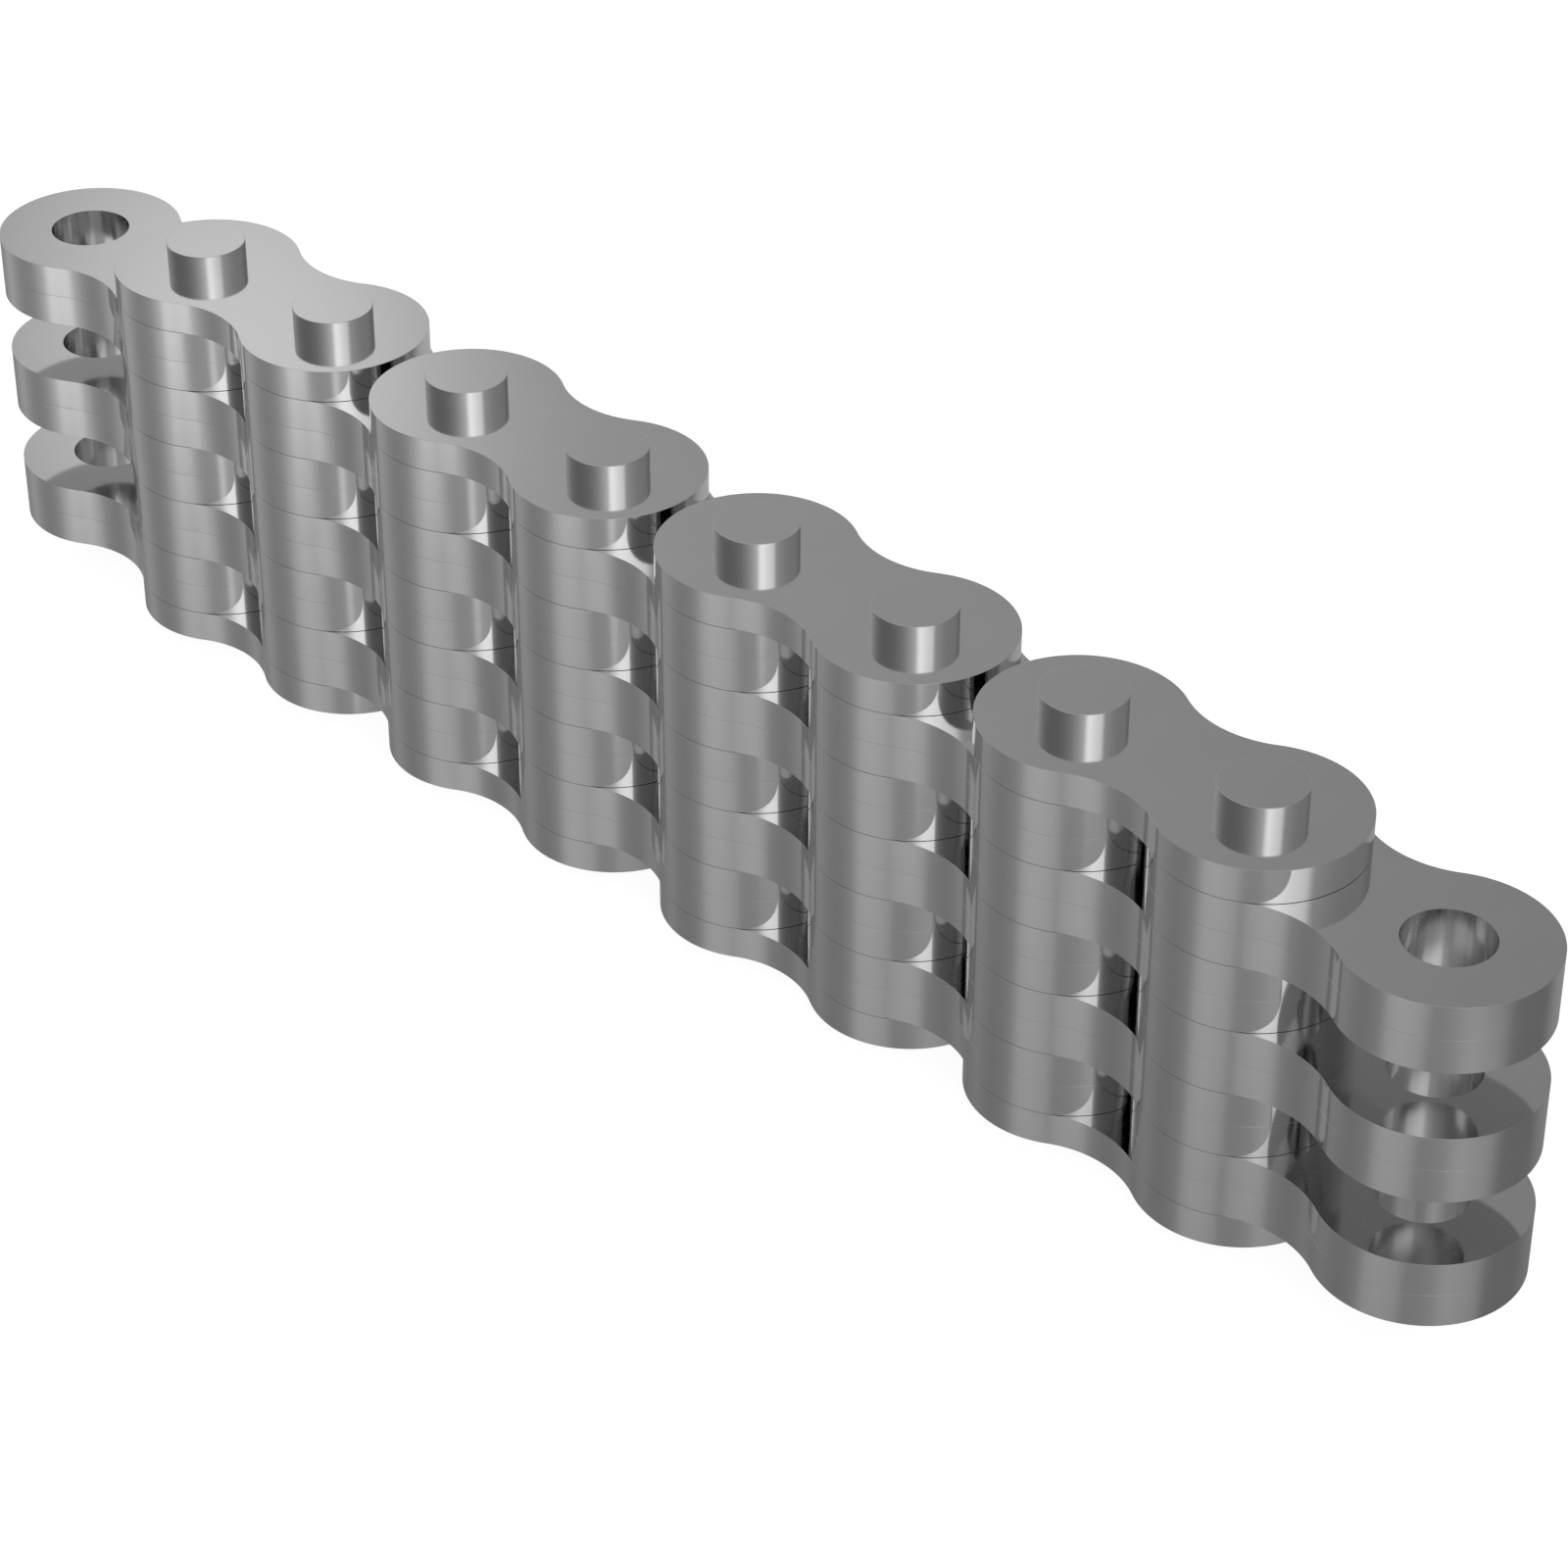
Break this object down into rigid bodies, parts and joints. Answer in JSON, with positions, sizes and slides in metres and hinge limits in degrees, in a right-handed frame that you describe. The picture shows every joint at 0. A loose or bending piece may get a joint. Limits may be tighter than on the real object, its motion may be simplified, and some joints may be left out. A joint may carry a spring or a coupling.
{
  "type": "leaf chain strand",
  "caption": "Short strand of leaf chain: flat waisted link plates laced on plain round pins, with an open clevis-like articulating link at each end.",
  "frame": {"origin": "under the middle of the straight strand, level with the lower ends of the pins", "axes": "+X along the strand from the first link to the last, +Y across the plates' depth, +Z along the pins, upwards"},
  "size_m": [0.1264, 0.012, 0.0284],
  "materials": {
    "plate_steel": "tumbled, oiled heat-treated steel, satin",
    "pin_steel": "ground hardened steel, semi-bright"
  },
  "bodies": {
    "articulating_link_1": {"articulating_plate_1_1": "plate_steel", "articulating_plate_1_2": "plate_steel", "articulating_plate_1_3": "plate_steel", "articulating_plate_1_4": "plate_steel", "articulating_plate_1_5": "plate_steel", "articulating_plate_1_6": "plate_steel"},
    "pin_link_2": {"pin_plate_2_bottom": "plate_steel", "intermediate_plates_2_lower": "plate_steel", "intermediate_plates_2_upper": "plate_steel", "pin_plate_2_top": "plate_steel", "pin_1": "pin_steel", "pin_2": "pin_steel"},
    "articulating_link_3": {"articulating_plate_3_1": "plate_steel", "articulating_plate_3_2": "plate_steel", "articulating_plate_3_3": "plate_steel", "articulating_plate_3_4": "plate_steel", "articulating_plate_3_5": "plate_steel", "articulating_plate_3_6": "plate_steel"},
    "pin_link_4": {"pin_plate_4_bottom": "plate_steel", "intermediate_plates_4_lower": "plate_steel", "intermediate_plates_4_upper": "plate_steel", "pin_plate_4_top": "plate_steel", "pin_3": "pin_steel", "pin_4": "pin_steel"},
    "articulating_link_5": {"articulating_plate_5_1": "plate_steel", "articulating_plate_5_2": "plate_steel", "articulating_plate_5_3": "plate_steel", "articulating_plate_5_4": "plate_steel", "articulating_plate_5_5": "plate_steel", "articulating_plate_5_6": "plate_steel"},
    "pin_link_6": {"pin_plate_6_bottom": "plate_steel", "intermediate_plates_6_lower": "plate_steel", "intermediate_plates_6_upper": "plate_steel", "pin_plate_6_top": "plate_steel", "pin_5": "pin_steel", "pin_6": "pin_steel"},
    "articulating_link_7": {"articulating_plate_7_1": "plate_steel", "articulating_plate_7_2": "plate_steel", "articulating_plate_7_3": "plate_steel", "articulating_plate_7_4": "plate_steel", "articulating_plate_7_5": "plate_steel", "articulating_plate_7_6": "plate_steel"},
    "pin_link_8": {"pin_plate_8_bottom": "plate_steel", "intermediate_plates_8_lower": "plate_steel", "intermediate_plates_8_upper": "plate_steel", "pin_plate_8_top": "plate_steel", "pin_7": "pin_steel", "pin_8": "pin_steel"},
    "articulating_link_9": {"articulating_plate_9_1": "plate_steel", "articulating_plate_9_2": "plate_steel", "articulating_plate_9_3": "plate_steel", "articulating_plate_9_4": "plate_steel", "articulating_plate_9_5": "plate_steel", "articulating_plate_9_6": "plate_steel"}
  },
  "joints": [
    {"name": "hinge_at_pin_1", "type": "hinge", "parent": "articulating_link_1", "child": "pin_link_2", "pos_m": [-0.04445, 0, 0.01421], "axis": [0, 0, 1], "range_deg": [-120, 120]},
    {"name": "hinge_at_pin_2", "type": "hinge", "parent": "pin_link_2", "child": "articulating_link_3", "pos_m": [-0.03175, 0, 0.01421], "axis": [0, 0, -1], "range_deg": [-120, 120]},
    {"name": "hinge_at_pin_3", "type": "hinge", "parent": "articulating_link_3", "child": "pin_link_4", "pos_m": [-0.01905, 0, 0.01421], "axis": [0, 0, 1], "range_deg": [-120, 120]},
    {"name": "hinge_at_pin_4", "type": "hinge", "parent": "pin_link_4", "child": "articulating_link_5", "pos_m": [-0.00635, 0, 0.01421], "axis": [0, 0, -1], "range_deg": [-120, 120]},
    {"name": "hinge_at_pin_5", "type": "hinge", "parent": "articulating_link_5", "child": "pin_link_6", "pos_m": [0.00635, 0, 0.01421], "axis": [0, 0, 1], "range_deg": [-120, 120]},
    {"name": "hinge_at_pin_6", "type": "hinge", "parent": "pin_link_6", "child": "articulating_link_7", "pos_m": [0.01905, 0, 0.01421], "axis": [0, 0, -1], "range_deg": [-120, 120]},
    {"name": "hinge_at_pin_7", "type": "hinge", "parent": "articulating_link_7", "child": "pin_link_8", "pos_m": [0.03175, 0, 0.01421], "axis": [0, 0, 1], "range_deg": [-120, 120]},
    {"name": "hinge_at_pin_8", "type": "hinge", "parent": "pin_link_8", "child": "articulating_link_9", "pos_m": [0.04445, 0, 0.01421], "axis": [0, 0, -1], "range_deg": [-120, 120]}
  ]
}
